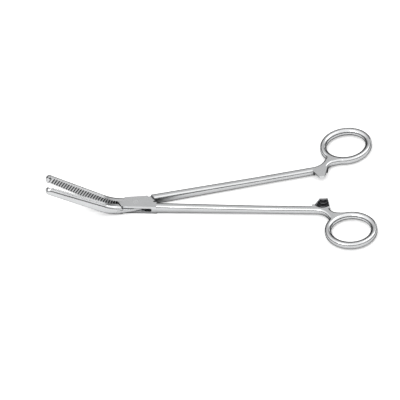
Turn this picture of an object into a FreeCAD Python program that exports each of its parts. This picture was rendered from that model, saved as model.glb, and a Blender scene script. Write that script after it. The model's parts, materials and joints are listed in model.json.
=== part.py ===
"""Curved hysterectomy forceps: two forged halves with a box lock, and the rivet that they turn on.

Each half is drawn closed, in its own frame: x runs to the finger ring, z up from the mid-plane, the
pin axis at the origin, and "own side" is the distance from the closing plane towards the half's own
shank. The halves are then opened about the pin as in the photograph and set on the box's flat side.
"""
import FreeCAD, Part
import math
import os
import re
import Sketcher

BOX_SIDE = -1
TONGUE_SIDE = 1
ALONG_Y = FreeCAD.Vector(0, 1, 0)
UPRIGHT = FreeCAD.Vector(0, 0, 1)
SMALL = 0.001  # mm or mm3, for telling whether sizes differ

RING_NEAR = "(ring_offset - ring_width / 2)"
NECK_START = "(ring_distance - neck_setback)"
NECK_END = "(ring_distance - ring_length / 4 - neck_reach)"
WEB_START = "(ring_distance - web_setback)"
WEB_CORNER = "(ring_distance - web_corner_setback)"
CATCH_CENTRE = "(ring_distance - catch_setback)"
BEND_END = (
    "(-jaw_bend_start - jaw_bend_radius * sin(jaw_bend))",
    "(jaw_bend_radius * (1 - cos(jaw_bend)))",
)
JAW_TIP = (
    f"({BEND_END[0]} - jaw_straight * cos(jaw_bend))",
    f"({BEND_END[1]} + jaw_straight * sin(jaw_bend))",
)

SIZES = (
    ("opening", 8.5, "angle between the jaw faces as shown, degrees"),
    ("box_thickness", 6.2, "box lock, over its two cheeks"),
    ("tongue_thickness", 2.2, "tongue that passes through the box"),
    ("slide_clearance", 0.06, "between the tongue and each cheek"),
    ("pin_diameter", 3.4, "rivet"),
    ("pin_clearance", 0.04, "round the rivet in the tongue, radial"),
    ("face_gap", 0.1, "between the closed jaw faces"),
    ("cheek_front", 10.8, "pin axis to the cheek's front edge at the closing plane"),
    ("cheek_front_outer", 8.7, "pin axis to the cheek's front edge at its outer side"),
    ("cheek_side", 3.7, "closing plane to the cheek's outer side, at the front"),
    ("cheek_rear", 11.6, "pin axis to the cheek's rear edge beside its own shank"),
    ("cheek_rear_outer", 7.3, "pin axis to the cheek's rear edge on the jaw's side"),
    ("box_half_width", 5.0, "closing plane to the box's side behind the jaw"),
    ("shoulder_gap", 0.4, "cheek's front edge to the jaw's shoulder"),
    ("shoulder_inner", 12.4, "pin axis to the shank's shoulder beside the closing plane"),
    ("shoulder_outer", 10.1, "pin axis to the shank's shoulder at its outer side"),
    ("slot_wall_outer", 9.4, "pin axis to the slot's end wall at the box's side"),
    ("slot_wall_inner", 12.9, "pin axis to the slot's end wall at the closing plane"),
    ("slot_wall_side", 6.05, "closing plane to the outer end of the slot's walls"),
    ("waist_near", 4.3, "pin axis to the full width of the tongue"),
    ("waist_far", 2.9, "pin axis to the waist of the tongue"),
    ("tongue_half_width", 4.3, "tongue at its full width"),
    ("waist_half_width", 3.8, "tongue at its waist"),
    ("shank_width", 4.2, "shank in plan"),
    ("shank_root", 13.4, "pin axis to the shank's root"),
    ("shank_root_offset", 3.0, "closing plane to the shank's centre line at its root"),
    ("shank_splay", 3.1, "shank's centre line to the closing plane, degrees"),
    ("shank_taper_end", 78.0, "pin axis to where the shank has thinned to its handle"),
    ("handle_thickness", 4.4, "shank's end and ring, top to bottom"),
    ("rim_round", 1.4, "long edges of the handle"),
    ("neck_setback", 17.4, "ring's centre back to where the neck leaves the shank"),
    ("neck_reach", 4.25, "neck's outer side, its end before the ring's quarter length"),
    ("neck_angle", 60.0, "neck's outer side to the closing plane, degrees"),
    ("neck_bend", 9.0, "radius of the neck's outer bend"),
    ("throat_round", 1.8, "radius between the neck and the ring"),
    ("web_setback", 14.8, "ring's centre back to the web between the arm and the ring"),
    ("web_corner_setback", 12.0, "ring's centre back to the web's inner corner"),
    ("web_foot_round", 2.8, "radius where the web leaves the shank"),
    ("web_round", 5.0, "radius of the web's inner corner"),
    ("web_blend", 12.0, "radius where the web runs into the ring"),
    ("web_inset", 1.1, "web's end inside the ring's outline"),
    ("ring_distance", 136.6, "pin axis to the ring's centre"),
    ("ring_offset", 26.2, "closing plane to the ring's centre"),
    ("ring_length", 33.0, "ring outside, along its long axis"),
    ("ring_width", 29.0, "ring outside, across"),
    ("ring_tube", 4.1, "ring's band in plan"),
    ("ring_tilt", -4.0, "ring's long axis to the closing plane, degrees"),
    ("hole_round", 0.45, "round of the hole's rims, as a share of the ring's thickness"),
    ("arm_foot_box", 6.9, "middle of the teeth to the front foot of the box half's arm"),
    ("arm_foot_tongue", 4.8, "middle of the teeth to the front foot of the tongue half's arm"),
    ("arm_front_box", 2.6, "middle of the teeth to the front corner of the box half's arm"),
    ("arm_front_tongue", 1.3, "middle of the teeth to the front corner of the tongue half's arm"),
    ("arm_rear_box", 2.8, "middle of the teeth to the rear corner of the box half's arm"),
    ("arm_rear_tongue", 1.9, "middle of the teeth to the rear corner of the tongue half's arm"),
    ("arm_rear_foot", 4.9, "middle of the teeth to the arms' rear foot"),
    ("arm_rear_drop", 2.5, "arms' rear foot below the ring's near side"),
    ("arm_corner_round", 0.35, "corners of an arm's end"),
    ("arm_reach_box", 2.2, "box half's arm beyond the closing plane"),
    ("arm_reach_tongue", -0.9, "tongue half's arm beyond the closing plane"),
    ("catch_clearance", 0.2, "between the two arms' teeth, top to bottom"),
    ("catch_setback", 18.3, "ring's centre back to the middle of the teeth"),
    ("catch_offset", 2.0, "closing plane to the centre of the milled recess"),
    ("catch_radius", 6.5, "milled recess behind the teeth"),
    ("catch_depth", 0.9, "height of the teeth"),
    ("catch_pitch", 2.9, "from tooth to tooth"),
    ("catch_valleys", 3, "valleys cut between the teeth"),
    ("catch_land", 0.3, "flat top of a tooth"),
    ("jaw_bend_start", 7.3, "pin axis to the start of the jaw's bend"),
    ("jaw_bend_radius", 26.0, "radius of the bend at mid height"),
    ("jaw_bend", 33.7, "angle of the bend, degrees"),
    ("jaw_straight", 39.0, "jaw beyond its bend"),
    ("jaw_tip_height", 4.6, "jaw face at the tip"),
    ("jaw_thickness", 4.2, "jaw at its root, across the closing plane"),
    ("jaw_tip_thickness", 3.4, "jaw at its tip"),
    ("jaw_back_round", 1.7, "long back edges of the jaw"),
    ("jaw_tip_round", 2.1, "corners of the tip, seen from the side"),
    ("groove_pitch", 1.7, "cross serrations"),
    ("groove_width", 1.45, "across one V groove"),
    ("groove_depth", 0.6, "of one V groove"),
    ("plain_tip", 4.4, "jaw's end without serrations"),
    ("groove_turn", 23.5, "part of the bend that is serrated, degrees"),
    ("tooth_setback", 2.0, "tip to the middle of the cross tooth"),
    ("tooth_base", 2.3, "cross tooth, along the jaw"),
    ("tooth_length", 3.4, "cross tooth, across the jaw's height"),
    ("tooth_height", 1.35, "cross tooth"),
    ("tooth_clearance", 0.15, "round the cross tooth in its notch"),
    ("outside", 12.0, "how far cutting outlines run past the metal"),
)

document = FreeCAD.newDocument("HysterectomyForceps")
sizes = document.addObject("Spreadsheet::Sheet", "Sizes")
for row, (alias, number, meaning) in enumerate(SIZES, start=1):
    sizes.set(f"A{row}", meaning)
    sizes.set(f"B{row}", str(number))
    sizes.setAlias(f"B{row}", alias)
document.recompute()
ALIASES = re.compile(r"\b(" + "|".join(alias for alias, _, _ in SIZES) + r")\b")


def formula(text):
    """The expression for text, in which each size is named by its alias alone."""
    return ALIASES.sub(r"Sizes.\1", text)


def value(text):
    """The number that a formula gives now."""
    return float(sizes.evalExpression(formula(text)))


def bind(item, **formulas):
    """Bind properties of item to formulas; a double underscore stands for a dot."""
    for name, text in formulas.items():
        item.setExpression(name.replace("__", "."), formula(text))


def sketch_on(body, role, name, **offsets):
    """A sketch on one of the body's origin planes, moved by AttachmentOffset formulas."""
    sketch = body.newObject("Sketcher::SketchObject", name)
    plane = next(item for item in body.Origin.OriginFeatures if item.Role == role)
    sketch.AttachmentSupport = (plane, [""])
    sketch.MapMode = "FlatFace"
    bind(sketch, **{f"AttachmentOffset__{key}": text for key, text in offsets.items()})
    return sketch


def fix_point(sketch, geometry, end, across, along):
    """Hold one point of a sketch at two formulas."""
    for kind, text in (("DistanceX", across), ("DistanceY", along)):
        number = sketch.addConstraint(Sketcher.Constraint(kind, -1, 1, geometry, end, value(text)))
        sketch.setExpression(f"Constraints[{number}]", formula(text))


def draw_polygon(sketch, corners):
    """A closed outline of straight lines through corners, each a pair of formulas."""
    points = [FreeCAD.Vector(value(across), value(along), 0) for across, along in corners]
    for index, point in enumerate(points):
        sketch.addGeometry(Part.LineSegment(point, points[(index + 1) % len(points)]))
    for index, (across, along) in enumerate(corners):
        following = (index + 1) % len(corners)
        sketch.addConstraint(Sketcher.Constraint("Coincident", index, 2, following, 1))
        fix_point(sketch, index, 1, across, along)


def draw_plan(sketch, side, corners):
    """A polygon in plan, from pairs of distance along x and distance to the own side."""
    draw_polygon(sketch, [(along, f"{side} * ({own})") for along, own in corners])


def draw_circle(sketch, across, along, radius):
    """A circle with its centre and radius bound to formulas."""
    centre = FreeCAD.Vector(value(across), value(along), 0)
    circle = sketch.addGeometry(Part.Circle(centre, FreeCAD.Vector(0, 0, 1), value(radius)))
    fix_point(sketch, circle, 3, across, along)
    number = sketch.addConstraint(Sketcher.Constraint("Radius", circle, value(radius)))
    sketch.setExpression(f"Constraints[{number}]", formula(radius))


def draw_ellipse(sketch, length, width):
    """An ellipse round the sketch's origin, with its long axis along the sketch's x."""
    half_length = FreeCAD.Vector(value(length) / 2, 0, 0)
    half_width = FreeCAD.Vector(0, value(width) / 2, 0)
    ellipse = sketch.addGeometry(Part.Ellipse(half_length, half_width, FreeCAD.Vector(0, 0, 0)))
    sketch.exposeInternalGeometry(ellipse)
    long_axis = ellipse + 1
    short_axis = ellipse + 2
    sketch.addConstraint(Sketcher.Constraint("Coincident", ellipse, 3, -1, 1))
    sketch.addConstraint(Sketcher.Constraint("Horizontal", long_axis))
    for axis, text in ((long_axis, length), (short_axis, width)):
        number = sketch.addConstraint(Sketcher.Constraint("Distance", axis, value(text)))
        sketch.setExpression(f"Constraints[{number}]", formula(text))


def extrude(body, kind, name, sketch, length, reverse=False, symmetric=True):
    """A Pad or a Pocket of a sketch, both ways or one way; a Pocket has to cut something."""
    before = body.Tip.Shape.Volume if body.Tip else 0.0
    feature = body.newObject(f"PartDesign::{kind}", name)
    feature.Profile = sketch
    feature.SideType = "Symmetric" if symmetric else "One side"
    feature.Reversed = reverse
    bind(feature, Length=length)
    document.recompute()
    require_change(feature, before, kind == "Pad")
    return feature


def require_change(feature, before, grows):
    """Stop when a feature adds or cuts nothing."""
    change = feature.Shape.Volume - before
    if change * (1 if grows else -1) < SMALL:
        raise RuntimeError(f"{feature.Name} changed the volume by {change:.4f} mm3")


def turn_groove(body, name, sketch):
    """A full turn of a sketch about its own upright axis, cut away."""
    before = body.Tip.Shape.Volume
    feature = body.newObject("PartDesign::Groove", name)
    feature.Profile = sketch
    feature.ReferenceAxis = (sketch, ["V_Axis"])
    feature.Angle = 360
    document.recompute()
    require_change(feature, before, False)
    return feature


def repeat(body, kind, name, original, axis, spacing, count, reverse):
    """A row of copies of a cutting feature: a LinearPattern or a PolarPattern."""
    before = body.Tip.Shape.Volume
    feature = body.newObject(f"PartDesign::{kind}", name)
    feature.Originals = [original]
    if kind == "LinearPattern":
        feature.Direction = axis
    else:
        feature.Axis = axis
    feature.Mode = "Spacing"
    feature.Reversed = reverse
    bind(feature, Offset=spacing, Occurrences=count)
    body.Tip = feature
    document.recompute()
    require_change(feature, before, False)
    return feature


def round_edges(body, name, radius, edges):
    """A Fillet of the named edges of the body's tip."""
    if not edges:
        raise RuntimeError(f"{name} found no edge")
    base = body.Tip
    feature = body.newObject("PartDesign::Fillet", name)
    feature.Base = (base, edges)
    bind(feature, Radius=radius)
    document.recompute()
    if feature.Shape.isNull() or not feature.Shape.isValid():
        raise RuntimeError(f"{name} gave no valid solid")
    return feature


def edges_where(shape, test):
    """Names of the edges that pass a test."""
    return [f"Edge{number}" for number, edge in enumerate(shape.Edges, start=1) if test(edge)]


def middle_of(edge):
    """The point halfway along an edge."""
    return edge.valueAt((edge.FirstParameter + edge.LastParameter) / 2)


def is_straight_along(edge, direction):
    """Whether an edge is a line in the given direction."""
    run = edge.valueAt(edge.LastParameter) - edge.valueAt(edge.FirstParameter)
    return abs(abs(run.dot(direction)) - edge.Length) < 0.0001 * edge.Length


def upright_edge_near(shape, along, across):
    """Name of the upright edge nearest to a point of the plan."""
    names = edges_where(shape, lambda edge: is_straight_along(edge, UPRIGHT))
    target = FreeCAD.Vector(along, across, 0)

    def distance(name):
        point = middle_of(shape.getElement(name))
        return (FreeCAD.Vector(point.x, point.y, 0) - target).Length

    return min(names, key=distance)


def shank_side(along, outer):
    """Formula for a side of the shank, from the closing plane, at a distance along x."""
    sign = "+" if outer else "-"
    centre = f"shank_root_offset + ({along} - shank_root) * tan(shank_splay)"
    return f"{centre} {sign} shank_width / 2"


def neck_end():
    """The end of the neck's outer side, within the ring's band."""
    foot = shank_side(NECK_START, True)
    return (NECK_END, f"{foot} + ({NECK_END} - {NECK_START}) * tan(neck_angle)")


def add_handle(body, side, starts):
    """Shank, neck and finger ring, with their long edges rounded; starts are the root's two x."""
    inner_start, outer_start = starts
    web_end = "(ring_distance + web_inset)"
    outline = (
        (inner_start, shank_side(inner_start, False)),
        (WEB_START, shank_side(WEB_START, False)),
        (WEB_CORNER, RING_NEAR),
        (web_end, f"{RING_NEAR} + web_inset"),
        ("ring_distance", "ring_offset"),
        neck_end(),
        (NECK_START, shank_side(NECK_START, True)),
        (outer_start, shank_side(outer_start, True)),
    )
    plan = sketch_on(body, "XY_Plane", "handle_plan")
    draw_plan(plan, side, outline)
    extrude(body, "Pad", "shank_and_neck", plan, "box_thickness")

    placed = {
        "Base__x": "ring_distance",
        "Base__y": f"{side} * ring_offset",
        "Rotation__Angle": f"{-side} * ring_tilt",
    }
    ring = sketch_on(body, "XY_Plane", "ring_plan", **placed)
    draw_ellipse(ring, "ring_length", "ring_width")
    extrude(body, "Pad", "ring", ring, "handle_thickness")

    for level in (-1, 1):
        name = "under" if level < 0 else "top"
        taper = sketch_on(body, "XZ_Plane", f"taper_{name}")
        far_end = "ring_distance + ring_length"
        corners = (
            ("shank_root", f"{level} * box_thickness / 2"),
            ("shank_taper_end", f"{level} * handle_thickness / 2"),
            (far_end, f"{level} * handle_thickness / 2"),
            (far_end, f"{level} * box_thickness"),
            ("shank_root", f"{level} * box_thickness"),
        )
        draw_polygon(taper, corners)
        extrude(body, "Pocket", f"thin_{name}", taper, "2 * (ring_offset + ring_width)")

    hole = sketch_on(body, "XY_Plane", "ring_hole", **placed)
    draw_ellipse(hole, "ring_length - 2 * ring_tube", "ring_width - 2 * ring_tube")
    extrude(body, "Pocket", "finger_hole", hole, "2 * box_thickness")

    blend_handle(body, side)


def blend_handle(body, side):
    """Round the handle's upright corners in plan, and then its long edges."""
    along, own = neck_end()
    corners = (
        ("neck_blend", "neck_bend", NECK_START, shank_side(NECK_START, True)),
        ("web_corner_round", "web_round", WEB_CORNER, RING_NEAR),
        ("web_start_round", "web_foot_round", WEB_START, shank_side(WEB_START, False)),
        ("throat", "throat_round", along, own),
        ("web_end", "web_blend", "ring_distance + web_inset", f"{RING_NEAR} + web_inset"),
    )
    for name, radius, along, own in corners:
        edge = upright_edge_near(body.Tip.Shape, value(along), side * value(own))
        round_edges(body, name, radius, [edge])

    level = value("handle_thickness / 2")

    def is_rim(edge):
        middle = middle_of(edge)
        flat = edge.BoundBox.ZLength < value("box_thickness - handle_thickness")
        crossing = is_straight_along(edge, ALONG_Y) or middle.x < value("shank_root")
        return flat and abs(middle.z) > level - SMALL and not crossing

    holes = edges_where(body.Tip.Shape, lambda edge: is_rim(edge) and edge.isClosed())
    round_edges(body, "hole_rims", "hole_round * handle_thickness", holes)
    rims = edges_where(body.Tip.Shape, lambda edge: is_rim(edge) and not edge.isClosed())
    round_edges(body, "rims", "rim_round", rims)


def add_box(body, side):
    """The box: both cheeks with the bridges at their ends; the slot and the bore are cut later."""
    plan = sketch_on(body, "XY_Plane", "box_plan")
    outline = (
        ("-cheek_front", "-face_gap / 2"),
        ("-cheek_front_outer", "cheek_side"),
        ("cheek_rear", shank_side("cheek_rear", True)),
        ("shank_root", shank_side("shank_root", True)),
        ("shank_root", shank_side("shank_root", False)),
        ("cheek_rear", shank_side("cheek_rear", False)),
        ("cheek_rear_outer", "-box_half_width"),
        ("-jaw_bend_start", "-jaw_thickness"),
        ("-jaw_bend_start", "-face_gap / 2"),
    )
    draw_plan(plan, side, outline)
    extrude(body, "Pad", "box", plan, "box_thickness")

    slot = sketch_on(body, "XY_Plane", "slot_plan")
    outline = (
        ("slot_wall_outer", "slot_wall_side"),
        ("slot_wall_inner", "-face_gap"),
        ("slot_wall_inner", "-outside"),
        ("-slot_wall_outer", "-slot_wall_side"),
        ("-slot_wall_inner", "face_gap"),
        ("-slot_wall_inner", "outside"),
    )
    draw_plan(slot, side, outline)
    extrude(body, "Pocket", "slot", slot, "tongue_thickness + 2 * slide_clearance")

    bore = sketch_on(body, "XY_Plane", "bore_circle")
    draw_circle(bore, "0", "0", "pin_diameter / 2")
    extrude(body, "Pocket", "bore", bore, "2 * box_thickness")


def add_tongue(body, side):
    """The waisted tongue that joins the jaw to the shank, with its bore."""
    plan = sketch_on(body, "XY_Plane", "tongue_plan")
    outline = (
        ("shoulder_inner", shank_side("shoulder_inner", False)),
        ("shank_root", shank_side("shank_root", False)),
        ("shank_root", shank_side("shank_root", True)),
        ("shoulder_outer", shank_side("shoulder_outer", True)),
        ("waist_near", "tongue_half_width"),
        ("-waist_far", "waist_half_width"),
        ("-shoulder_inner", f"-({shank_side('shoulder_inner', False)})"),
        ("-shoulder_inner", "-jaw_thickness"),
        ("-waist_near", "-tongue_half_width"),
        ("waist_far", "-waist_half_width"),
    )
    draw_plan(plan, side, outline)
    extrude(body, "Pad", "tongue", plan, "tongue_thickness")

    bore = sketch_on(body, "XY_Plane", "bore_circle")
    draw_circle(bore, "0", "0", "pin_diameter / 2 + pin_clearance")
    extrude(body, "Pocket", "bore", bore, "2 * box_thickness")


def tip_corner(level):
    """The jaw's tip corner, above or below its centre line by half the tip's height."""
    return (
        f"{JAW_TIP[0]} + {level} * jaw_tip_height / 2 * sin(jaw_bend)",
        f"{JAW_TIP[1]} + {level} * jaw_tip_height / 2 * cos(jaw_bend)",
    )


def draw_jaw_side(sketch):
    """The jaw seen from the side: two arcs from the box and two tangent lines to the tip."""
    centre = FreeCAD.Vector(-value("jaw_bend_start"), value("jaw_bend_radius"), 0)
    down = -90
    corners = {}
    arcs = {}
    for level in (-1, 1):
        radius = value(f"jaw_bend_radius - {level} * box_thickness / 2")
        start = FreeCAD.Vector(centre.x, centre.y - radius, 0)
        turn = FreeCAD.Rotation(FreeCAD.Vector(0, 0, 1), -value("jaw_bend"))
        end = centre + turn.multVec(start - centre)
        circle = Part.Circle(centre, FreeCAD.Vector(0, 0, 1), radius)
        first = down - value("jaw_bend")
        arc = Part.ArcOfCircle(circle, math.radians(first), math.radians(down))
        arcs[level] = sketch.addGeometry(arc)
        across, along = tip_corner(level)
        tip = FreeCAD.Vector(value(across), value(along), 0)
        corners[level] = sketch.addGeometry(Part.LineSegment(end, tip))
        sketch.addConstraint(Sketcher.Constraint("Tangent", arcs[level], 1, corners[level], 1))
        fix_point(sketch, arcs[level], 3, "-jaw_bend_start", "jaw_bend_radius")
        fix_point(sketch, arcs[level], 2, "-jaw_bend_start", f"{level} * box_thickness / 2")
        fix_point(sketch, corners[level], 2, across, along)
    for lines, end in ((arcs, 2), (corners, 2)):
        lower = sketch.Geometry[lines[-1]]
        upper = sketch.Geometry[lines[1]]
        first = lower.EndPoint
        second = upper.EndPoint
        line = sketch.addGeometry(Part.LineSegment(first, second))
        sketch.addConstraint(Sketcher.Constraint("Coincident", line, 1, lines[-1], end))
        sketch.addConstraint(Sketcher.Constraint("Coincident", line, 2, lines[1], end))


def add_jaw(body, side):
    """The curved jaw with its rounded back and tip, on the far side of the closing plane."""
    profile = sketch_on(body, "XZ_Plane", "jaw_side", Base__z=f"{side} * face_gap / 2")
    draw_jaw_side(profile)
    extrude(body, "Pad", "jaw", profile, "jaw_thickness - face_gap / 2", side < 0, False)

    back = sketch_on(body, "XY_Plane", "jaw_back")
    slope = f"(jaw_thickness - jaw_tip_thickness) / (-({JAW_TIP[0]}) - jaw_bend_start)"
    outline = (
        ("-jaw_bend_start", "-jaw_thickness"),
        ("-jaw_bend_start", "-jaw_thickness - outside"),
        (f"{JAW_TIP[0]} - outside", "-jaw_thickness - outside"),
        (f"{JAW_TIP[0]} - outside", f"-jaw_tip_thickness + {slope} * outside"),
    )
    draw_plan(back, side, outline)
    extrude(body, "Pocket", "thin_jaw", back, f"2 * ({JAW_TIP[1]} + jaw_tip_height)")

    reach = value(JAW_TIP[0]) + value("jaw_tip_height")
    tip = body.Tip.Shape
    corners = edges_where(
        tip, lambda edge: is_straight_along(edge, ALONG_Y) and middle_of(edge).x < reach
    )
    round_edges(body, "tip_round", "jaw_tip_round", corners)

    tip = body.Tip.Shape

    def is_back(edge):
        on_back = side * middle_of(edge).y < -value("(jaw_back_round + jaw_tip_thickness) / 2")
        return on_back and not is_straight_along(edge, UPRIGHT)

    round_edges(body, "jaw_back_round", "jaw_back_round", edges_where(tip, is_back))


def trim_shoulder(body, side):
    """Cut the tongue half's jaw back to a slanting shoulder, clear of the box's front edge."""
    plan = sketch_on(body, "XY_Plane", "shoulder_plan")
    slant = "(cheek_front - cheek_front_outer) / cheek_side"
    outline = (
        ("-cheek_front - shoulder_gap", "0"),
        ("0", "0"),
        ("0", "-outside"),
        (f"-cheek_front - shoulder_gap + {slant} * outside", "-outside"),
    )
    draw_plan(plan, side, outline)
    extrude(body, "Pocket", "shoulder", plan, "2 * box_thickness")


def add_ratchet_arm(body, side, half):
    """The arm with its milled recess, at half the handle's thickness, and the curved saw teeth."""
    foot = f"({CATCH_CENTRE} - arm_foot_{half})"
    front = f"({CATCH_CENTRE} - arm_front_{half})"
    rear = f"({CATCH_CENTRE} + arm_rear_{half})"
    end = f"-arm_reach_{half}"
    plan = sketch_on(body, "XY_Plane", "arm_plan")
    outline = (
        (foot, shank_side(foot, False)),
        (front, end),
        (rear, end),
        (f"{CATCH_CENTRE} + arm_rear_foot", f"{RING_NEAR} - arm_rear_drop"),
        (foot, shank_side(foot, False) + " + shank_width / 2"),
    )
    draw_plan(plan, side, outline)
    extrude(body, "Pad", "ratchet_arm", plan, "handle_thickness")

    for name, along in (("arm_front_corner", front), ("arm_rear_corner", rear)):
        edge = upright_edge_near(body.Tip.Shape, value(along), side * value(end))
        round_edges(body, name, "arm_corner_round", [edge])

    floor = f"{side} * catch_clearance / 2"
    recess = sketch_on(body, "XY_Plane", "recess_circle", Base__z=floor)
    draw_circle(recess, CATCH_CENTRE, f"{side} * catch_offset", "catch_radius")
    extrude(body, "Pocket", "milled_recess", recess, "handle_thickness", side < 0, False)

    placed = {"Base__x": CATCH_CENTRE, "Base__z": f"{-side} * catch_offset"}
    valley = sketch_on(body, "XZ_Plane", "valley", **placed)
    upright_face = "catch_radius - catch_pitch"
    run = "catch_pitch - catch_land"
    above = "catch_clearance / 4"
    corners = (
        (upright_face, f"{side} * (catch_clearance / 2 - {above})"),
        (upright_face, f"{side} * (catch_clearance / 2 + catch_depth)"),
        (
            f"{upright_face} + ({run}) * (1 + {above} / catch_depth)",
            f"{side} * (catch_clearance / 2 - {above})",
        ),
    )
    draw_polygon(valley, corners)
    groove = turn_groove(body, "tooth_valley", valley)
    towards_end = (recess, ["V_Axis"])
    settings = (towards_end, "catch_pitch", "floor(catch_valleys)", side > 0)
    repeat(body, "LinearPattern", "tooth_valleys", groove, *settings)


def sketch_on_slant(body, name, distance_x, distance_z):
    """A sketch in plan, turned so that its own x runs along the straight part of the jaw."""
    sketch = sketch_on(body, "XY_Plane", name)
    turn = FreeCAD.Rotation(ALONG_Y, value("jaw_bend"))
    place = FreeCAD.Vector(value(distance_x), 0, value(distance_z))
    sketch.AttachmentOffset = FreeCAD.Placement(place, turn)
    bind(
        sketch,
        AttachmentOffset__Base__x=distance_x,
        AttachmentOffset__Base__z=distance_z,
        AttachmentOffset__Rotation__Angle="jaw_bend",
    )
    return sketch


def draw_wedge(sketch, side, base, height, out):
    """A triangle on the jaw's face; it points out of the metal where out is 1, into it where -1."""
    overlap = "face_gap / 2"
    half_base = f"{base} / 2 * (1 + {overlap} / ({height}))"
    outline = (
        (f"-{half_base}", f"-face_gap / 2 - {out} * {overlap}"),
        (half_base, f"-face_gap / 2 - {out} * {overlap}"),
        ("0", f"-face_gap / 2 + {out} * ({height})"),
    )
    draw_plan(sketch, side, outline)


def add_serrations(body, side):
    """V grooves across the jaw's face, along its straight part and back round its bend."""
    plan = sketch_on_slant(body, "groove_plan", *BEND_END)
    draw_wedge(plan, side, "groove_width", "groove_depth", -1)
    groove = extrude(body, "Pocket", "groove", plan, "2 * box_thickness")
    along = (plan, ["H_Axis"])
    count = "floor((jaw_straight - plain_tip) / groove_pitch) + 1"
    repeat(body, "LinearPattern", "straight_grooves", groove, along, "groove_pitch", count, True)

    centre = sketch_on(
        body, "XZ_Plane", "bend_centre", Base__x="-jaw_bend_start", Base__y="jaw_bend_radius"
    )
    axis = (centre, ["N_Axis"])
    spacing = "groove_pitch / jaw_bend_radius * 180 / pi"
    count = f"floor(groove_turn / ({spacing})) + 1"
    repeat(body, "PolarPattern", "bend_grooves", groove, axis, spacing, count, False)


def add_tip_catch(body, side, half):
    """The cross tooth at the tip of the box half's jaw, or the notch for it in the other jaw."""
    distance_x = f"{JAW_TIP[0]} + tooth_setback * cos(jaw_bend)"
    distance_z = f"{JAW_TIP[1]} - tooth_setback * sin(jaw_bend)"
    plan = sketch_on_slant(body, "tip_catch_plan", distance_x, distance_z)
    if half == "box":
        draw_wedge(plan, side, "tooth_base", "tooth_height", 1)
        extrude(body, "Pad", "cross_tooth", plan, "tooth_length")
    else:
        draw_wedge(plan, side, "(tooth_base + 2 * tooth_clearance)", "tooth_height + tooth_clearance", -1)
        extrude(body, "Pocket", "notch", plan, "2 * box_thickness")


def make_half(half, side):
    """One half of the forceps, drawn closed, then raised and opened about the pin."""
    body = document.addObject("PartDesign::Body", f"{half}_half")
    body.Label = f"{half}_half"
    body.AllowCompound = True
    if half == "box":
        starts = ("cheek_rear", "cheek_rear")
    else:
        starts = ("shoulder_inner", "shoulder_outer")
    add_handle(body, side, starts)
    add_ratchet_arm(body, side, half)
    add_jaw(body, side)
    add_serrations(body, side)
    add_tip_catch(body, side, half)
    if half == "box":
        add_box(body, side)
    else:
        trim_shoulder(body, side)
        add_tongue(body, side)

    turn = FreeCAD.Rotation(UPRIGHT, side * value("opening / 2"))
    body.Placement = FreeCAD.Placement(FreeCAD.Vector(0, 0, value("box_thickness / 2")), turn)
    bind(
        body,
        Placement__Base__z="box_thickness / 2",
        Placement__Rotation__Angle=f"{side} * opening / 2",
    )
    return body


def make_pin():
    """The rivet, flush with both sides of the box."""
    pin = document.addObject("Part::Cylinder", "pivot_pin")
    pin.Label = "pivot_pin"
    bind(pin, Radius="pin_diameter / 2", Height="box_thickness")
    return pin


pieces = [make_half("box", BOX_SIDE), make_half("tongue", TONGUE_SIDE), make_pin()]
document.recompute()

for item in document.Objects:
    if "Invalid" in item.State or "Error" in item.State:
        raise RuntimeError(f"{item.Label} failed: {item.State}")
for piece in pieces:
    if piece.Shape.isNull() or not piece.Shape.isValid() or len(piece.Shape.Solids) != 1:
        raise RuntimeError(f"{piece.Label} isn't one valid solid")

os.makedirs("parts", exist_ok=True)
for piece in pieces:
    piece.Shape.exportStep(f"parts/{piece.Label}.step")
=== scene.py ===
"""Looks for the hysterectomy forceps: stainless steel for the three CAD nodes, and a small studio.

Lengths are in metres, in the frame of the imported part. The steel of each half is patterned in the half's
own frame, in which the half lies as it does with the jaws closed: x runs along the closing plane from the
jaw's tip to the finger ring, and y runs out from that plane towards the half's own shank.
"""
import json
import math

import bpy
from mathutils import Matrix, Vector


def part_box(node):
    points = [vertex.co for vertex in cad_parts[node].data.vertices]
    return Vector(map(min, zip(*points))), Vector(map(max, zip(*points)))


bl_info = {
    "name": "Hysterectomy forceps",
    "version": (1, 0, 0),
    "blender": (4, 5, 0),
    "location": "3D View > Sidebar > Forceps",
    "description": "Finishes the steel of the forceps and sets up the studio round it",
    "category": "Object",
}

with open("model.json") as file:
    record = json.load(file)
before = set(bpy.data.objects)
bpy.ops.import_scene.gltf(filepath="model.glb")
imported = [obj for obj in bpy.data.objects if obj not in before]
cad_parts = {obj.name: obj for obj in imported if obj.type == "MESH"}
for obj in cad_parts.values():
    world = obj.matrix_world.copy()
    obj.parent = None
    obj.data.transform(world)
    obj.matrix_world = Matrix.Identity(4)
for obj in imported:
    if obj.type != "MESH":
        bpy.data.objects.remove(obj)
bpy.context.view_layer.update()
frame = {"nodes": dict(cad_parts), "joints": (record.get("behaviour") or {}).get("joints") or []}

MILLIMETRE = 0.001


def in_metres(*millimetres):
    """Sizes in metres for sizes in millimetres."""
    return tuple(size * MILLIMETRE for size in millimetres)


BOX_LOCK = frame["joints"][0]
MID_PLANE = BOX_LOCK["pos_m"][2]  # the halves' middle, above the box's underside
HALVES = {"box_half": -1, "tongue_half": 1}  # each half, and on which side in Y its shank lies

# Limits of the serrated face of a jaw, in the half's own frame
JAW_FACE_X = in_metres(-60, -11)
JAW_FACE_Y = in_metres(-0.8, 0.1)
JAW_FACE_NORMAL = (0.4, 1.1)  # the normal's Y, which is 1 at most
# The bottoms of the grooves get painted shade, darkest deep down
GROOVE_Y = in_metres(-0.6, -0.1)  # from where a groove is darkest to its mouth

# Limits of the recess behind the ratchet's teeth, in the same frame
RECESS_MIDDLE = in_metres(118.3, 2.0, 0)
RECESS_RADIUS, RECESS_DEPTH = in_metres(6.5, 1.15)
RECESS_NORMAL = (0.1, 1.1)  # how far the normal points out of the recess

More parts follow.
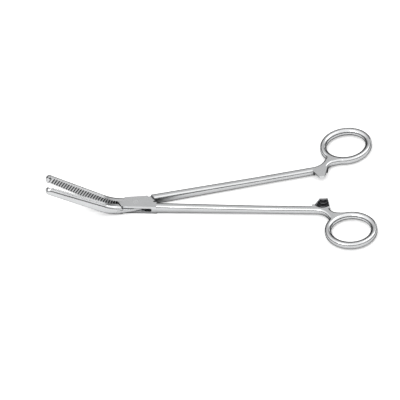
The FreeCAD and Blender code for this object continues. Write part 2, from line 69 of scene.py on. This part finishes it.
# Limits of the joint between the tongue and the box's cheeks, in the same frame
JOINT_X = in_metres(-10.5, 9.4)
JOINT_HEIGHT = in_metres(0.95, 1.35)  # above and below the middle plane
JOINT_NORMAL = (-0.5, 0.5)  # the normal's Z, which is small on the lock's sides

NOISE_LOW, NOISE_HIGH = 0.3, 0.7  # nearly all of a noise node's values lie between these
RING_SPACING = math.pi / 10  # a wave node's rings are this far apart at scale 1
# Painted shade: ambient occlusion darkens the steel's colour in crevices and where parts meet
CREVICE_SHADE_OPENNESS = (0.4, 0.85)  # share of free directions where the steel is darkest and where it is plain
CREVICE_SHADE_TONE = 0.06  # what is left of the steel's colour in the darkest crevice
# Painted contact shadow: the floor, as the steel mirrors it, darkens near the forceps
CONTACT_SHADOW_OPENNESS = (0.4, 0.95)  # the same shares for the mirrored floor

# Sockets of a Mix node for colours: its factor, its two colours and, among the outputs, its result
MIX_FACTOR, MIX_FIRST, MIX_SECOND, MIX_RESULT = 0, 6, 7, 2

PICTURE = 400  # pixels across the photograph
PIXELS_PER_METRE = 1587
PIN_PIXEL = (136.03, 204.9)  # where the rivet's middle lies in the photograph, though it doesn't show there

SKY_LEAN = math.radians(40)  # the brightest part of the sky, from straight up towards the camera
SKY_FADE = (-0.3, 0.48)  # cosines of the angle to that part, where the sky is black and brightest
HORIZON_FADE = (0.28, 0.66)  # sines of the height over the floor, where the sky is black and full

# Name, place and width in metres, and watts of each soft box; the last one stands where the flat rims of
# the jaws mirror it to the camera
LAMPS = (
    ("key_lamp", (-0.4, -0.5, 1.2), 0.5, 4),
    ("fill_lamp", (0.7, 0.3, 1.1), 0.7, 2),
    ("jaw_lamp", (1.05, 1.1, 0.55), 0.4, 0.75),
)


def linear_colour(hex_colour):
    """Linear RGB for an sRGB hex colour such as #C8C8C8."""
    channels = [int(hex_colour[start:start + 2], 16) / 255 for start in (1, 3, 5)]
    return tuple(c / 12.92 if c <= 0.04045 else ((c + 0.055) / 1.055) ** 2.4 for c in channels)


def add_node(tree, kind, settings=None, values=None, links=None):
    """A node with its settings, the constants on its sockets and the links into it.

    A socket goes by its name, or by its number where several sockets of the node share one name.
    """
    node = tree.nodes.new(kind)
    for name, setting in (settings or {}).items():
        setattr(node, name, setting)
    for socket, value in (values or {}).items():
        node.inputs[socket].default_value = value
    for socket, source in (links or {}).items():
        tree.links.new(source, node.inputs[socket])
    return node


def new_material(name):
    """A node material and its tree, still without nodes."""
    material = bpy.data.materials.new(name)
    material.use_nodes = True
    material.node_tree.nodes.clear()
    return material, material.node_tree


class SteelSettings(bpy.types.PropertyGroup):
    """Colours and surface of the steel."""

    steel_colour: bpy.props.FloatVectorProperty(
        name="Steel", description="Colour of the satin stainless steel", subtype="COLOR",
        default=linear_colour("#D4D5D6"), min=0, max=1,
    )
    edge_colour: bpy.props.FloatVectorProperty(
        name="Edge", description="Tint of the steel where it is seen at a grazing angle", subtype="COLOR",
        default=linear_colour("#606062"), min=0, max=1,
    )
    pin_colour: bpy.props.FloatVectorProperty(
        name="Pin", description="Colour of the ground end of the rivet", subtype="COLOR",
        default=linear_colour("#D8D9DA"), min=0, max=1,
    )
    # Partly the duller tone of milled steel, partly painted shade in the recess
    recess_tone_and_shade_colour: bpy.props.FloatVectorProperty(
        name="Milled recess", description="Colour of the recess behind the ratchet's teeth",
        subtype="COLOR", default=linear_colour("#88888A"), min=0, max=1,
    )
    # Painted shade at the bottom of the jaws' grooves, and the dark line of the lock's joint
    groove_shade_and_joint_colour: bpy.props.FloatVectorProperty(
        name="Grooves", description="Colour at the bottom of the jaws' grooves and in the lock's joint",
        subtype="COLOR", default=linear_colour("#303032"), min=0, max=1,
    )
    # The joint's lower limit closes the jaws, and each half makes half of that turn.
    half_turn: bpy.props.FloatProperty(
        name="Half turn", description="Turn of each half from its closed place in the packed pose",
        default=math.radians(-BOX_LOCK["range_deg"][0] / 2), subtype="ANGLE",
    )
    roughness: bpy.props.FloatProperty(
        name="Roughness", description="Mean roughness of the satin finish", default=0.2, min=0, max=1,
        subtype="FACTOR",
    )
    milled_roughness: bpy.props.FloatProperty(
        name="Milled roughness", description="Roughness of the milled faces", default=0.32, min=0, max=1,
        subtype="FACTOR",
    )
    # Real polishing lines and grinding scratches lie about 0.05 mm apart. That is too fine to show, so the
    # lines are drawn 0.3 mm apart and the scratches 0.16 mm.
    grain_width: bpy.props.FloatProperty(
        name="Grain width", description="Distance between the polishing lines", default=0.3 * MILLIMETRE,
        min=0, unit="LENGTH",
    )
    grain_length: bpy.props.FloatProperty(
        name="Grain length", description="Length of a polishing line", default=9 * MILLIMETRE, min=0,
        unit="LENGTH",
    )
    scratch_spacing: bpy.props.FloatProperty(
        name="Scratch spacing", description="Distance between the grinding scratches on the rivet",
        default=0.15708 * MILLIMETRE, min=0, unit="LENGTH",
    )
    cloud_size: bpy.props.FloatProperty(
        name="Cloud size", description="Size of the slightly duller patches that hand polishing leaves",
        default=14 * MILLIMETRE, min=0, unit="LENGTH",
    )
    # Reach of the painted crevice shade
    crevice_shade_reach: bpy.props.FloatProperty(
        name="Crevice reach", description="How near another surface darkens the steel",
        default=1.2 * MILLIMETRE, min=0, unit="LENGTH",
    )


class StudioSettings(bpy.types.PropertyGroup):
    """Floor, sky and camera."""

    floor_colour: bpy.props.FloatVectorProperty(
        name="Floor", description="Colour of the matt floor", subtype="COLOR",
        default=linear_colour("#F2F2F2"), min=0, max=1,
    )
    floor_width: bpy.props.FloatProperty(
        name="Floor width", description="Side of the square floor", default=8.0, min=1, unit="LENGTH",
    )
    floor_lift: bpy.props.FloatProperty(
        name="Floor lift", description="Light that the floor adds to the camera's view of it alone",
        default=0.32, min=0, subtype="FACTOR",
    )
    mirrored_floor: bpy.props.FloatProperty(
        name="Mirrored floor", description="Tone of the floor as the steel mirrors it", default=0.95, min=0,
        max=1, subtype="FACTOR",
    )
    # Reach of the painted contact shadow on the mirrored floor
    contact_shadow_reach: bpy.props.FloatProperty(
        name="Contact reach", description="How far from the forceps the mirrored floor is darker",
        default=5 * MILLIMETRE, min=0, unit="LENGTH",
    )
    sky_strength: bpy.props.FloatProperty(
        name="Sky strength", description="Strength of the sky at its brightest", default=1.3, min=0,
        subtype="FACTOR",
    )
    camera_distance: bpy.props.FloatProperty(
        name="Camera distance", description="Camera to the middle of the picture", default=3.0, min=0.5,
        unit="LENGTH",
    )
    camera_azimuth: bpy.props.FloatProperty(
        name="Azimuth", description="Camera round from the -Y side", default=math.radians(4.4),
        subtype="ANGLE",
    )
    camera_elevation: bpy.props.FloatProperty(
        name="Elevation", description="Camera above the floor", default=math.radians(47.0),
        subtype="ANGLE",
    )
    camera_roll: bpy.props.FloatProperty(
        name="Roll", description="Picture turned anticlockwise", default=math.radians(7.83),
        subtype="ANGLE",
    )


def own_frame(tree, output_name, turn, side):
    """A point or a normal, in the own frame of the half that lies on this side."""
    place = add_node(tree, "ShaderNodeTexCoord")
    closed = add_node(
        tree, "ShaderNodeMapping", {"vector_type": "POINT"}, {"Rotation": (0, 0, -turn)},
        {"Vector": place.outputs[output_name]},
    )
    mirrored = add_node(
        tree, "ShaderNodeMapping", {"vector_type": "POINT"}, {"Scale": (1, side, 1)},
        {"Vector": closed.outputs[0]},
    )
    return mirrored.outputs[0]


def all_within(tree, limits):
    """A mask that is 1 where each number lies between its two limits, and 0 elsewhere."""
    mask = None
    for source, (low, high) in limits:
        within = add_node(
            tree, "ShaderNodeMath", {"operation": "COMPARE"}, {1: (low + high) / 2, 2: (high - low) / 2},
            {0: source},
        )
        if mask is not None:
            within = add_node(
                tree, "ShaderNodeMath", {"operation": "MULTIPLY"}, None,
                {0: mask.outputs[0], 1: within.outputs[0]},
            )
        mask = within
    return mask.outputs[0]


def jaw_face_mask(tree, place, normal):
    """1 on the serrated face of the jaw and in its grooves, and 0 elsewhere."""
    return all_within(tree, (
        (place.outputs["X"], JAW_FACE_X),
        (place.outputs["Y"], JAW_FACE_Y),
        (normal.outputs["Y"], JAW_FACE_NORMAL),
    ))


def recess_mask(tree, own, place, normal, side):
    """1 in the recess that is milled for the ratchet's teeth, and 0 elsewhere.

    The box half's recess opens upwards and the tongue half's downwards.
    """
    flat = add_node(
        tree, "ShaderNodeVectorMath", {"operation": "MULTIPLY"}, {1: (1, 1, 0)}, {0: own}
    )
    reach = add_node(
        tree, "ShaderNodeVectorMath", {"operation": "DISTANCE"}, {1: RECESS_MIDDLE}, {0: flat.outputs[0]}
    )
    return all_within(tree, (
        (reach.outputs["Value"], (-RECESS_RADIUS, RECESS_RADIUS)),
        (place.outputs["Z"], sorted((MID_PLANE, MID_PLANE + side * RECESS_DEPTH))),
        (normal.outputs["Z"], sorted(-side * limit for limit in RECESS_NORMAL)),
    ))


def joint_mask(tree, place, normal):
    """1 along the joint between the tongue and the cheeks, on the lock's sides, and 0 elsewhere.

    The joint is open by 0.06 mm, too fine to show, so the dark line in it is drawn 0.4 mm wide.
    """
    level = add_node(
        tree, "ShaderNodeMath", {"operation": "SUBTRACT"}, {1: MID_PLANE}, {0: place.outputs["Z"]}
    )
    height = add_node(tree, "ShaderNodeMath", {"operation": "ABSOLUTE"}, None, {0: level.outputs[0]})
    return all_within(tree, (
        (place.outputs["X"], JOINT_X),
        (height.outputs[0], JOINT_HEIGHT),
        (normal.outputs["Z"], JOINT_NORMAL),
    ))


def polishing_marks(tree, own, steel):
    """Two noises: the grain that runs along the half, and the cloudiness between the polishing strokes."""
    stretch = Vector((1 / steel.grain_length, 1 / steel.grain_width, 1 / steel.grain_width))
    lines = add_node(
        tree, "ShaderNodeMapping", {"vector_type": "POINT"}, {"Scale": stretch}, {"Vector": own}
    )
    grain = add_node(
        tree, "ShaderNodeTexNoise", None, {"Scale": 1.0, "Detail": 3.0, "Roughness": 0.6},
        {"Vector": lines.outputs[0]},
    )
    cloud = add_node(
        tree, "ShaderNodeTexNoise", None,
        {"Scale": 1 / steel.cloud_size, "Detail": 2.0, "Roughness": 0.5},
        {"Vector": own},
    )
    return grain.outputs["Fac"], cloud.outputs["Fac"]


def steel_roughness(tree, grain, cloud, milled, steel):
    """The satin roughness, uneven with the polishing marks, and a duller one where the steel is milled."""
    along_grain = add_node(
        tree, "ShaderNodeMapRange", None,
        {
            "From Min": NOISE_LOW, "From Max": NOISE_HIGH,
            "To Min": steel.roughness - 0.04, "To Max": steel.roughness + 0.05,
        },
        {"Value": grain},
    )
    in_cloud = add_node(
        tree, "ShaderNodeMapRange", None,
        {"From Min": NOISE_LOW, "From Max": NOISE_HIGH, "To Min": -0.02, "To Max": 0.03},
        {"Value": cloud},
    )
    polished = add_node(
        tree, "ShaderNodeMath", {"operation": "ADD"}, None,
        {0: along_grain.outputs[0], 1: in_cloud.outputs[0]},
    )
    return add_node(
        tree, "ShaderNodeMapRange", None, {"To Max": steel.milled_roughness},
        {"Value": milled, "To Min": polished.outputs[0]},
    ).outputs[0]


def steel_tone(tree, cloud, recess, dark, steel):
    """The steel's colour, with painted shade in the recess, the grooves and every crevice.

    The recess is also darker for its milled tone, and a dark line runs along the lock's joint.
    """
    # The recess gets its milled tone and painted shade
    plain = add_node(
        tree, "ShaderNodeMix", {"data_type": "RGBA"},
        {MIX_FIRST: (*steel.steel_colour, 1), MIX_SECOND: (*steel.recess_tone_and_shade_colour, 1)},
        {MIX_FACTOR: recess},
    )
    lined = add_node(
        tree, "ShaderNodeMix", {"data_type": "RGBA"}, {MIX_SECOND: (*steel.groove_shade_and_joint_colour, 1)},
        {MIX_FACTOR: dark, MIX_FIRST: plain.outputs[MIX_RESULT]},
    )
    clouded = add_node(
        tree, "ShaderNodeMapRange", None,
        {"From Min": NOISE_LOW, "From Max": NOISE_HIGH, "To Min": 0.95, "To Max": 1.02},
        {"Value": cloud},
    )
    # Painted shade in every crevice, multiplied with the random cloudy tone
    openness = add_node(
        tree, "ShaderNodeAmbientOcclusion", {"samples": 8}, {"Distance": steel.crevice_shade_reach}
    )
    shade = add_node(
        tree, "ShaderNodeMapRange", None,
        {"From Min": CREVICE_SHADE_OPENNESS[0], "From Max": CREVICE_SHADE_OPENNESS[1], "To Min": CREVICE_SHADE_TONE},
        {"Value": openness.outputs["AO"], "To Max": clouded.outputs[0]},
    )
    return add_node(
        tree, "ShaderNodeMix", {"data_type": "RGBA", "blend_type": "MULTIPLY"}, {MIX_FACTOR: 1.0},
        {MIX_FIRST: lined.outputs[MIX_RESULT], MIX_SECOND: shade.outputs[0]},
    ).outputs[MIX_RESULT]


def satin_steel(name, steel, side):
    """Martensitic stainless steel, belt-ground and then satin polished along its length.

    It gives soft-edged reflections with a fine grain that runs from the jaw to the ring, slightly cloudy,
    thin dark edges, and a duller surface where a cutter has milled the jaw's face and the ratchet's recess.
    Painted shade darkens the recess, which also has a darker milled tone, the bottoms of the jaw's grooves
    and every crevice.
    """
    material, tree = new_material(name)
    turn = side * steel.half_turn
    own = own_frame(tree, "Object", turn, side)
    own_normal = own_frame(tree, "Normal", turn, side)
    place = add_node(tree, "ShaderNodeSeparateXYZ", None, None, {"Vector": own})
    normal = add_node(tree, "ShaderNodeSeparateXYZ", None, None, {"Vector": own_normal})
    grain, cloud = polishing_marks(tree, own, steel)

    jaw_face = jaw_face_mask(tree, place, normal)
    recess = recess_mask(tree, own, place, normal, side)
    joint = joint_mask(tree, place, normal)
    milled = add_node(tree, "ShaderNodeMath", {"operation": "MAXIMUM"}, None, {0: jaw_face, 1: recess})
    # Painted shade in the jaw's grooves, darkest at their bottoms
    bottom, mouth = GROOVE_Y
    depth = add_node(
        tree, "ShaderNodeMapRange", None,
        {"From Min": bottom, "From Max": mouth, "To Min": 1.0, "To Max": 0.0},
        {"Value": place.outputs["Y"]},
    )
    groove = add_node(
        tree, "ShaderNodeMath", {"operation": "MULTIPLY"}, None, {0: depth.outputs[0], 1: jaw_face}
    )
    dark = add_node(
        tree, "ShaderNodeMath", {"operation": "MAXIMUM"}, None, {0: groove.outputs[0], 1: joint}
    )

    relief = add_node(
        tree, "ShaderNodeBump", None, {"Strength": 0.25, "Distance": 0.02 * MILLIMETRE}, {"Height": grain}
    )
    shader = add_node(
        tree, "ShaderNodeBsdfPrincipled", None,
        {"Metallic": 1.0, "Specular Tint": (*steel.edge_colour, 1)},
        {
            "Base Color": steel_tone(tree, cloud, recess, dark.outputs[0], steel),
            "Roughness": steel_roughness(tree, grain, cloud, milled.outputs[0], steel),
            "Normal": relief.outputs[0],
        },
    )
    add_node(tree, "ShaderNodeOutputMaterial", None, None, {"Surface": shader.outputs[0]})
    return material


def ground_steel(name, steel):
    """Stainless steel ground flat with the box's side.

    It gives the rivet's end a faint, round sheen from small rings of fine scratches, and no outline.
    """
    material, tree = new_material(name)
    place = add_node(tree, "ShaderNodeTexCoord")
    rings = add_node(
        tree, "ShaderNodeTexWave", {"wave_type": "RINGS", "rings_direction": "Z"},
        {"Scale": RING_SPACING / steel.scratch_spacing, "Distortion": 1.5, "Detail": 2.0},
        {"Vector": place.outputs["Object"]},
    )
    rough = add_node(
        tree, "ShaderNodeMapRange", None,
        {"To Min": steel.roughness - 0.05, "To Max": steel.roughness + 0.08},
        {"Value": rings.outputs["Fac"]},
    )
    relief = add_node(
        tree, "ShaderNodeBump", None, {"Strength": 0.2, "Distance": 0.01 * MILLIMETRE},
        {"Height": rings.outputs["Fac"]},
    )
    shader = add_node(
        tree, "ShaderNodeBsdfPrincipled", None,
        {"Metallic": 1.0, "Base Color": (*steel.pin_colour, 1)},
        {"Roughness": rough.outputs[0], "Normal": relief.outputs[0]},
    )
    add_node(tree, "ShaderNodeOutputMaterial", None, None, {"Surface": shader.outputs[0]})
    return material


def dress(node, material):
    """Give a CAD node one material in place of its own."""
    node.data.materials.clear()
    node.data.materials.append(material)


class FORCEPS_OT_finish_halves(bpy.types.Operator):
    """Give both forged halves their satin steel"""

    bl_idname = "forceps.finish_halves"
    bl_label = "Finish the halves"

    def execute(self, context):
        steel = context.scene.forceps_steel
        for name, side in HALVES.items():
            dress(frame["nodes"][name], satin_steel(f"satin_steel_{name}", steel, side))
        return {"FINISHED"}


class FORCEPS_OT_finish_pin(bpy.types.Operator):
    """Give the rivet its ground steel"""

    bl_idname = "forceps.finish_pin"
    bl_label = "Finish the pin"

    def execute(self, context):
        steel = context.scene.forceps_steel
        dress(frame["nodes"]["pivot_pin"], ground_steel("ground_steel_pin", steel))
        return {"FINISHED"}


def matt_white_board(studio):
    """Board painted matt white.

    It gives a floor that shows nearly white and keeps the forceps' shadow. In the steel it is white too,
    but a painted contact shadow darkens it close to the forceps, which draws the lower edges of the steel.
    """
    material, tree = new_material("matt_white_board")
    path = add_node(tree, "ShaderNodeLightPath")
    # Painted contact shadow: near the forceps the floor that the steel mirrors is darker
    openness = add_node(
        tree, "ShaderNodeAmbientOcclusion", {"samples": 8}, {"Distance": studio.contact_shadow_reach}
    )
    mirrored = add_node(
        tree, "ShaderNodeMapRange", None,
        {
            "From Min": CONTACT_SHADOW_OPENNESS[0], "From Max": CONTACT_SHADOW_OPENNESS[1],
            "To Min": 0.0, "To Max": studio.mirrored_floor,
        },
        {"Value": openness.outputs["AO"]},
    )
    tone = add_node(
        tree, "ShaderNodeMix", {"data_type": "RGBA"}, {MIX_FIRST: (*studio.floor_colour, 1)},
        {MIX_FACTOR: path.outputs["Is Glossy Ray"], MIX_SECOND: mirrored.outputs[0]},
    )
    matt = add_node(tree, "ShaderNodeBsdfDiffuse", None, None, {"Color": tone.outputs[MIX_RESULT]})
    lift = add_node(
        tree, "ShaderNodeMath", {"operation": "MULTIPLY"}, {1: studio.floor_lift},
        {0: path.outputs["Is Camera Ray"]},
    )
    glow = add_node(tree, "ShaderNodeEmission", None, None, {"Strength": lift.outputs[0]})
    both = add_node(tree, "ShaderNodeAddShader", None, None, {0: matt.outputs[0], 1: glow.outputs[0]})
    add_node(tree, "ShaderNodeOutputMaterial", None, None, {"Surface": both.outputs[0]})
    return material


def add_floor(scene, studio):
    """The floor, a hair's breadth below the box's underside."""
    half = studio.floor_width / 2
    mesh = bpy.data.meshes.new("studio_floor")
    corners = [(-half, -half, 0), (half, -half, 0), (half, half, 0), (-half, half, 0)]
    mesh.from_pydata(corners, [], [(0, 1, 2, 3)])
    mesh.materials.append(matt_white_board(studio))
    floor = bpy.data.objects.new("studio_floor", mesh)
    floor.location.z = -0.1 * MILLIMETRE
    scene.collection.objects.link(floor)


def light_world(scene, studio):
    """A sky that is white to the camera; in the steel it is bright in front and overhead, dark behind.

    Low down it is dark all round, which draws the rounded edges of the steel as thin dark lines.
    """
    world = bpy.data.worlds.new("studio_world")
    scene.world = world
    world.use_nodes = True
    tree = world.node_tree
    tree.nodes.clear()
    direction = add_node(tree, "ShaderNodeTexCoord")
    towards = add_node(
        tree, "ShaderNodeVectorMath", {"operation": "DOT_PRODUCT"},
        {1: (0, -math.sin(SKY_LEAN), math.cos(SKY_LEAN))}, {0: direction.outputs["Generated"]},
    )
    bright = add_node(
        tree, "ShaderNodeMapRange", {"interpolation_type": "SMOOTHSTEP"},
        {"From Min": SKY_FADE[0], "From Max": SKY_FADE[1], "To Min": 0.0, "To Max": studio.sky_strength},
        {"Value": towards.outputs["Value"]},
    )
    parts = add_node(tree, "ShaderNodeSeparateXYZ", None, None, {"Vector": direction.outputs["Generated"]})
    raised = add_node(
        tree, "ShaderNodeMapRange", {"interpolation_type": "SMOOTHSTEP"},
        {"From Min": HORIZON_FADE[0], "From Max": HORIZON_FADE[1], "To Min": 0.0, "To Max": 1.0},
        {"Value": parts.outputs["Z"]},
    )
    light = add_node(
        tree, "ShaderNodeMath", {"operation": "MULTIPLY"}, None,
        {0: bright.outputs[0], 1: raised.outputs[0]},
    )
    path = add_node(tree, "ShaderNodeLightPath")
    seen = add_node(
        tree, "ShaderNodeMath", {"operation": "MAXIMUM"}, None,
        {0: light.outputs[0], 1: path.outputs["Is Camera Ray"]},
    )
    sky = add_node(
        tree, "ShaderNodeBackground", None, {"Color": (1, 1, 1, 1)}, {"Strength": seen.outputs[0]}
    )
    add_node(tree, "ShaderNodeOutputWorld", None, None, {"Surface": sky.outputs[0]})


def add_lamp(scene, name, place, width, power):
    """A square soft box that faces the rivet."""
    lamp = bpy.data.lights.new(name, "AREA")
    lamp.shape = "SQUARE"
    lamp.size = width
    lamp.energy = power
    holder = bpy.data.objects.new(name, lamp)
    holder.location = place
    holder.rotation_euler = Vector(place).to_track_quat("Z", "Y").to_euler()
    scene.collection.objects.link(holder)


def add_camera(scene, studio):
    """The photograph's view through a long lens, with the rivet at its pixel of the photograph."""
    azimuth, elevation, roll = studio.camera_azimuth, studio.camera_elevation, studio.camera_roll
    level = Vector((math.cos(azimuth), math.sin(azimuth), 0))
    back = Vector((
        math.sin(azimuth) * math.cos(elevation),
        -math.cos(azimuth) * math.cos(elevation),
        math.sin(elevation),
    ))
    rise = back.cross(level)
    right = level * math.cos(roll) - rise * math.sin(roll)
    up = level * math.sin(roll) + rise * math.cos(roll)
    pin = Vector((0, 0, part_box("pivot_pin")[1].z / 2))
    to_right = (PICTURE / 2 - PIN_PIXEL[0]) / PIXELS_PER_METRE
    upwards = (PIN_PIXEL[1] - PICTURE / 2) / PIXELS_PER_METRE
    middle = pin + right * to_right + up * upwards
    camera = bpy.data.cameras.new("photo_camera")
    camera.sensor_width = 36
    camera.lens = camera.sensor_width * studio.camera_distance * PIXELS_PER_METRE / PICTURE
    camera.clip_end = 50
    holder = bpy.data.objects.new("photo_camera", camera)
    axes = Matrix((right, up, back)).transposed().to_4x4()
    holder.matrix_world = Matrix.Translation(middle + back * studio.camera_distance) @ axes
    scene.collection.objects.link(holder)
    scene.camera = holder


class FORCEPS_OT_build_stage(bpy.types.Operator):
    """Set up the floor, the sky, the lamps and the camera"""

    bl_idname = "forceps.build_stage"
    bl_label = "Build the studio"

    def execute(self, context):
        scene = context.scene
        studio = scene.forceps_studio
        add_floor(scene, studio)
        light_world(scene, studio)
        for lamp in LAMPS:
            add_lamp(scene, *lamp)
        add_camera(scene, studio)
        scene.view_settings.view_transform = "Standard"
        return {"FINISHED"}


STEPS = (FORCEPS_OT_finish_halves, FORCEPS_OT_finish_pin, FORCEPS_OT_build_stage)


class FORCEPS_PT_panel(bpy.types.Panel):
    """Settings and steps for the forceps"""

    bl_idname = "FORCEPS_PT_panel"
    bl_label = "Hysterectomy forceps"
    bl_space_type = "VIEW_3D"
    bl_region_type = "UI"
    bl_category = "Forceps"

    def draw(self, context):
        for settings in (context.scene.forceps_steel, context.scene.forceps_studio):
            column = self.layout.column()
            for name in settings.__annotations__:
                column.prop(settings, name)
        for step in STEPS:
            self.layout.operator(step.bl_idname)


CLASSES = (SteelSettings, StudioSettings, *STEPS, FORCEPS_PT_panel)


def register():
    """Register the classes and the scene's settings."""
    for item in CLASSES:
        bpy.utils.register_class(item)
    bpy.types.Scene.forceps_steel = bpy.props.PointerProperty(type=SteelSettings)
    bpy.types.Scene.forceps_studio = bpy.props.PointerProperty(type=StudioSettings)


def unregister():
    """Take the settings and the classes away again."""
    del bpy.types.Scene.forceps_studio
    del bpy.types.Scene.forceps_steel
    for item in reversed(CLASSES):
        bpy.utils.unregister_class(item)


def main():
    """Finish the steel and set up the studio."""
    register()
    bpy.ops.forceps.finish_halves()
    bpy.ops.forceps.finish_pin()
    bpy.ops.forceps.build_stage()


if __name__ == "__main__":
    main()
